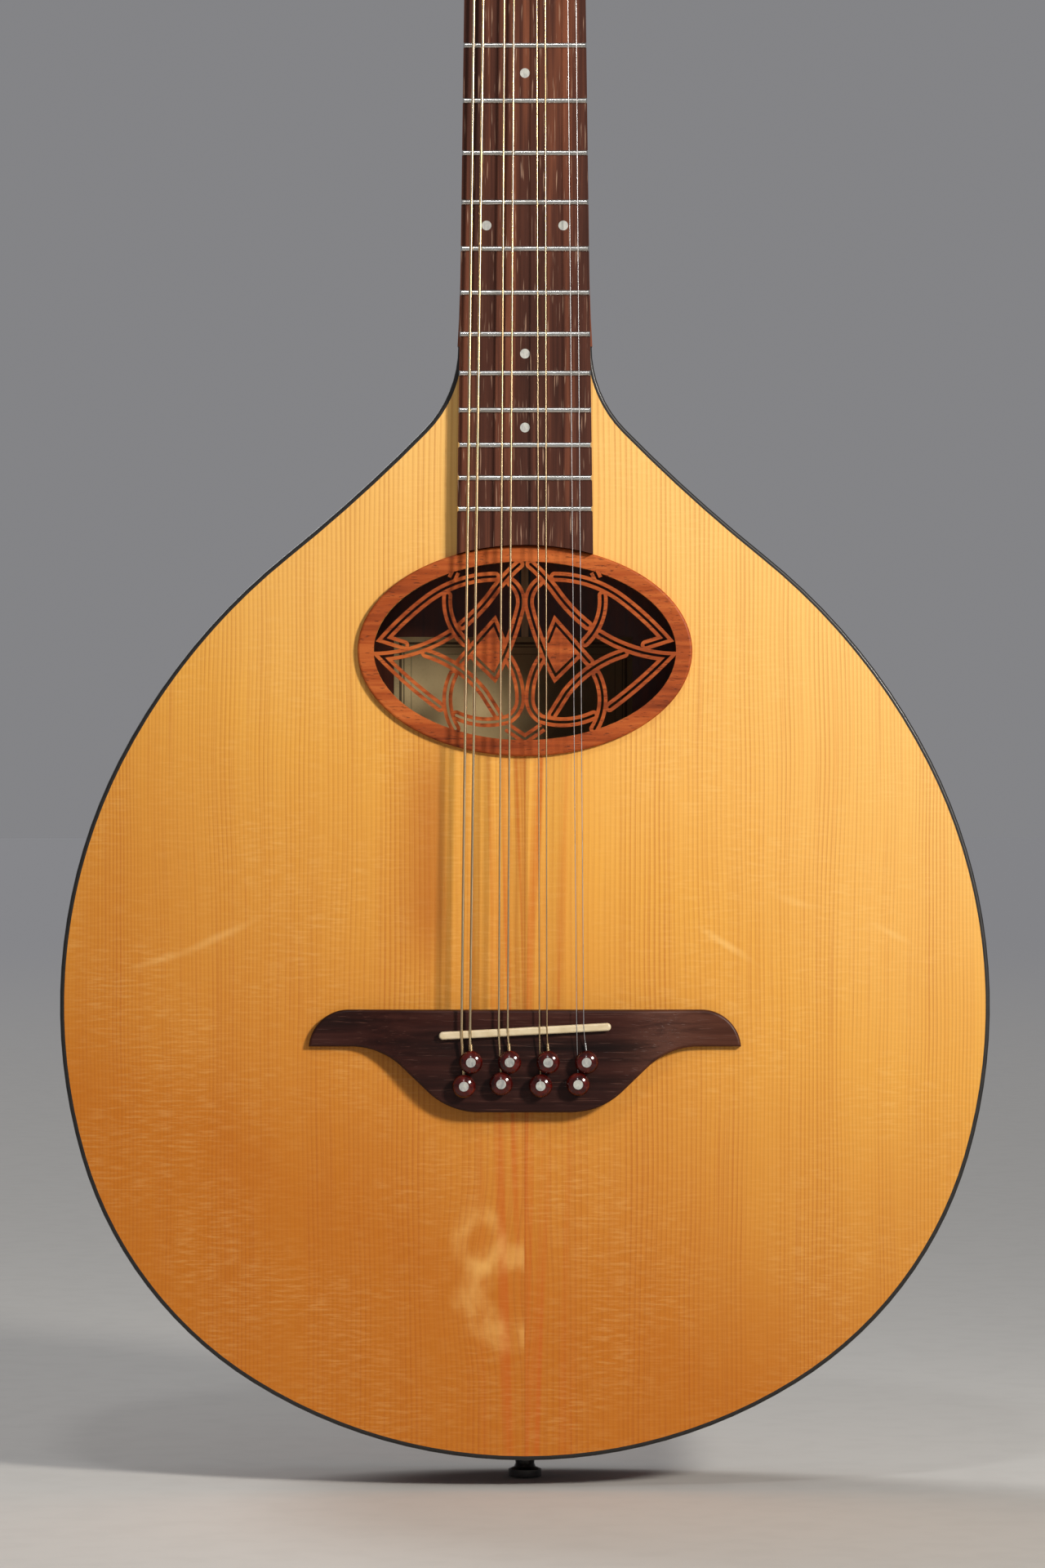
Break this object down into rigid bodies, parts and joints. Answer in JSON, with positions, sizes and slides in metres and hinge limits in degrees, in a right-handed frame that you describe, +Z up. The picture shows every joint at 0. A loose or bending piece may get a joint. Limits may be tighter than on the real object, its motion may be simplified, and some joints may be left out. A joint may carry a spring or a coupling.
{
  "type": "long-necked lute",
  "caption": "Flat-top long-necked lute with a round body, oval fretwork rosette, fretted neck, pinned bridge and paired strings on geared tuners.",
  "frame": {"origin": "on the centre line at the front of the nut, level with the soundboard face, where a wall hanger's yoke takes the head", "axes": "+Z up the neck to the head, +X to the treble side, -Y out of the soundboard"},
  "size_m": [0.3864, 0.1034, 1.0102],
  "materials": {
    "spruce_top": "satin",
    "spruce_bracing": "raw",
    "inner_mahogany": "raw",
    "back_and_side_wood": "gloss",
    "inlay_strip": "satin",
    "black_binding": "gloss",
    "neck_mahogany": "satin",
    "rosette_mahogany": "satin",
    "rosewood": "oiled",
    "fret_nickel": "polished",
    "pearl": "polished",
    "bone": "polished",
    "pin_red_brown": "gloss",
    "plain_steel_string": "polished",
    "bronze_string": "wound",
    "brass": "satin",
    "label_paper": "matt",
    "steel": "satin",
    "black_plastic": "gloss",
    "tuner_knob": "gloss",
    "tuner_nickel": "polished"
  },
  "bodies": {
    "instrument": {"back_bass_half": "back_and_side_wood", "back_binding": "black_binding", "back_braces": "inner_mahogany", "back_centre_strip": "inlay_strip", "back_linings": "inner_mahogany", "back_treble_half": "back_and_side_wood", "ball_ends": "brass", "bridge": "rosewood", "bridge_pins": "pin_red_brown", "bridge_plate": "rosewood", "fingerboard": "rosewood", "frets": "fret_nickel", "headplate": "rosewood", "heel_cap": "neck_mahogany", "neck": "neck_mahogany", "neck_block": "inner_mahogany", "neck_bolts": "steel", "nut": "bone", "paper_label": "label_paper", "pin_inlays": "pearl", "position_dots": "pearl", "saddle": "bone", "side_bass": "back_and_side_wood", "side_treble": "back_and_side_wood", "soundboard_bass_half": "spruce_top", "soundboard_braces": "spruce_bracing", "soundboard_treble_half": "spruce_top", "soundhole_rosette": "rosette_mahogany", "strap_button": "black_plastic", "strings_a_course": "bronze_string", "strings_d_course": "bronze_string", "strings_e_course": "plain_steel_string", "strings_g_course": "bronze_string", "tail_block": "inner_mahogany", "top_binding": "black_binding", "top_linings": "inner_mahogany", "truss_cover_screws": "tuner_nickel", "truss_rod": "steel", "truss_rod_cover": "black_plastic", "tuner_bushings": "tuner_nickel", "tuner_covers": "tuner_nickel", "tuner_housings": "tuner_nickel", "tuner_screws": "tuner_nickel"},
    "truss_nut": {"truss_rod_nut": "brass"},
    "tuner_button_1_body": {"tuner_button_1": "tuner_knob"},
    "tuner_post_1_body": {"tuner_post_1": "tuner_nickel"},
    "tuner_button_2_body": {"tuner_button_2": "tuner_knob"},
    "tuner_post_2_body": {"tuner_post_2": "tuner_nickel"},
    "tuner_button_3_body": {"tuner_button_3": "tuner_knob"},
    "tuner_post_3_body": {"tuner_post_3": "tuner_nickel"},
    "tuner_button_4_body": {"tuner_button_4": "tuner_knob"},
    "tuner_post_4_body": {"tuner_post_4": "tuner_nickel"},
    "tuner_button_5_body": {"tuner_button_5": "tuner_knob"},
    "tuner_post_5_body": {"tuner_post_5": "tuner_nickel"},
    "tuner_button_6_body": {"tuner_button_6": "tuner_knob"},
    "tuner_post_6_body": {"tuner_post_6": "tuner_nickel"},
    "tuner_button_7_body": {"tuner_button_7": "tuner_knob"},
    "tuner_post_7_body": {"tuner_post_7": "tuner_nickel"},
    "tuner_button_8_body": {"tuner_button_8": "tuner_knob"},
    "tuner_post_8_body": {"tuner_post_8": "tuner_nickel"}
  },
  "joints": [
    {"name": "truss_rod_adjust", "type": "hinge", "parent": "instrument", "child": "truss_nut", "pos_m": [0, 0.0055, 0.012], "axis": [0, 0, 1], "range_deg": [-90, 90]},
    {"name": "tuner_button_1_turn", "type": "hinge", "parent": "instrument", "child": "tuner_button_1_body", "pos_m": [-0.0425, 0.02799, 0.03791], "axis": [-1, 0, 0], "continuous": true},
    {"name": "tuner_post_1_turn", "type": "hinge", "parent": "instrument", "child": "tuner_post_1_body", "pos_m": [-0.0245, 0.01089, 0.04866], "axis": [0, -0.9703, 0.2419], "continuous": true},
    {"name": "tuner_button_2_turn", "type": "hinge", "parent": "instrument", "child": "tuner_button_2_body", "pos_m": [-0.0405, 0.03452, 0.0641], "axis": [-1, 0, 0], "continuous": true},
    {"name": "tuner_post_2_turn", "type": "hinge", "parent": "instrument", "child": "tuner_post_2_body", "pos_m": [-0.0225, 0.01742, 0.07486], "axis": [0, -0.9703, 0.2419], "continuous": true},
    {"name": "tuner_button_3_turn", "type": "hinge", "parent": "instrument", "child": "tuner_button_3_body", "pos_m": [-0.0385, 0.04106, 0.0903], "axis": [-1, 0, 0], "continuous": true},
    {"name": "tuner_post_3_turn", "type": "hinge", "parent": "instrument", "child": "tuner_post_3_body", "pos_m": [-0.0205, 0.02395, 0.10106], "axis": [0, -0.9703, 0.2419], "continuous": true},
    {"name": "tuner_button_4_turn", "type": "hinge", "parent": "instrument", "child": "tuner_button_4_body", "pos_m": [-0.0365, 0.04759, 0.1165], "axis": [-1, 0, 0], "continuous": true},
    {"name": "tuner_post_4_turn", "type": "hinge", "parent": "instrument", "child": "tuner_post_4_body", "pos_m": [-0.0185, 0.03048, 0.12726], "axis": [0, -0.9703, 0.2419], "continuous": true},
    {"name": "tuner_button_5_turn", "type": "hinge", "parent": "instrument", "child": "tuner_button_5_body", "pos_m": [0.0365, 0.04759, 0.1165], "axis": [1, 0, 0], "continuous": true},
    {"name": "tuner_post_5_turn", "type": "hinge", "parent": "instrument", "child": "tuner_post_5_body", "pos_m": [0.0185, 0.03048, 0.12726], "axis": [0, -0.9703, 0.2419], "continuous": true},
    {"name": "tuner_button_6_turn", "type": "hinge", "parent": "instrument", "child": "tuner_button_6_body", "pos_m": [0.0385, 0.04106, 0.0903], "axis": [1, 0, 0], "continuous": true},
    {"name": "tuner_post_6_turn", "type": "hinge", "parent": "instrument", "child": "tuner_post_6_body", "pos_m": [0.0205, 0.02395, 0.10106], "axis": [0, -0.9703, 0.2419], "continuous": true},
    {"name": "tuner_button_7_turn", "type": "hinge", "parent": "instrument", "child": "tuner_button_7_body", "pos_m": [0.0405, 0.03452, 0.0641], "axis": [1, 0, 0], "continuous": true},
    {"name": "tuner_post_7_turn", "type": "hinge", "parent": "instrument", "child": "tuner_post_7_body", "pos_m": [0.0225, 0.01742, 0.07486], "axis": [0, -0.9703, 0.2419], "continuous": true},
    {"name": "tuner_button_8_turn", "type": "hinge", "parent": "instrument", "child": "tuner_button_8_body", "pos_m": [0.0425, 0.02799, 0.03791], "axis": [1, 0, 0], "continuous": true},
    {"name": "tuner_post_8_turn", "type": "hinge", "parent": "instrument", "child": "tuner_post_8_body", "pos_m": [0.0245, 0.01089, 0.04866], "axis": [0, -0.9703, 0.2419], "continuous": true}
  ],
  "couplings": [
    {"joint": "tuner_post_1_turn", "follows": "tuner_button_1_turn", "ratio": -0.066667},
    {"joint": "tuner_post_2_turn", "follows": "tuner_button_2_turn", "ratio": -0.066667},
    {"joint": "tuner_post_3_turn", "follows": "tuner_button_3_turn", "ratio": -0.066667},
    {"joint": "tuner_post_4_turn", "follows": "tuner_button_4_turn", "ratio": -0.066667},
    {"joint": "tuner_post_5_turn", "follows": "tuner_button_5_turn", "ratio": -0.066667},
    {"joint": "tuner_post_6_turn", "follows": "tuner_button_6_turn", "ratio": -0.066667},
    {"joint": "tuner_post_7_turn", "follows": "tuner_button_7_turn", "ratio": -0.066667},
    {"joint": "tuner_post_8_turn", "follows": "tuner_button_8_turn", "ratio": -0.066667}
  ]
}
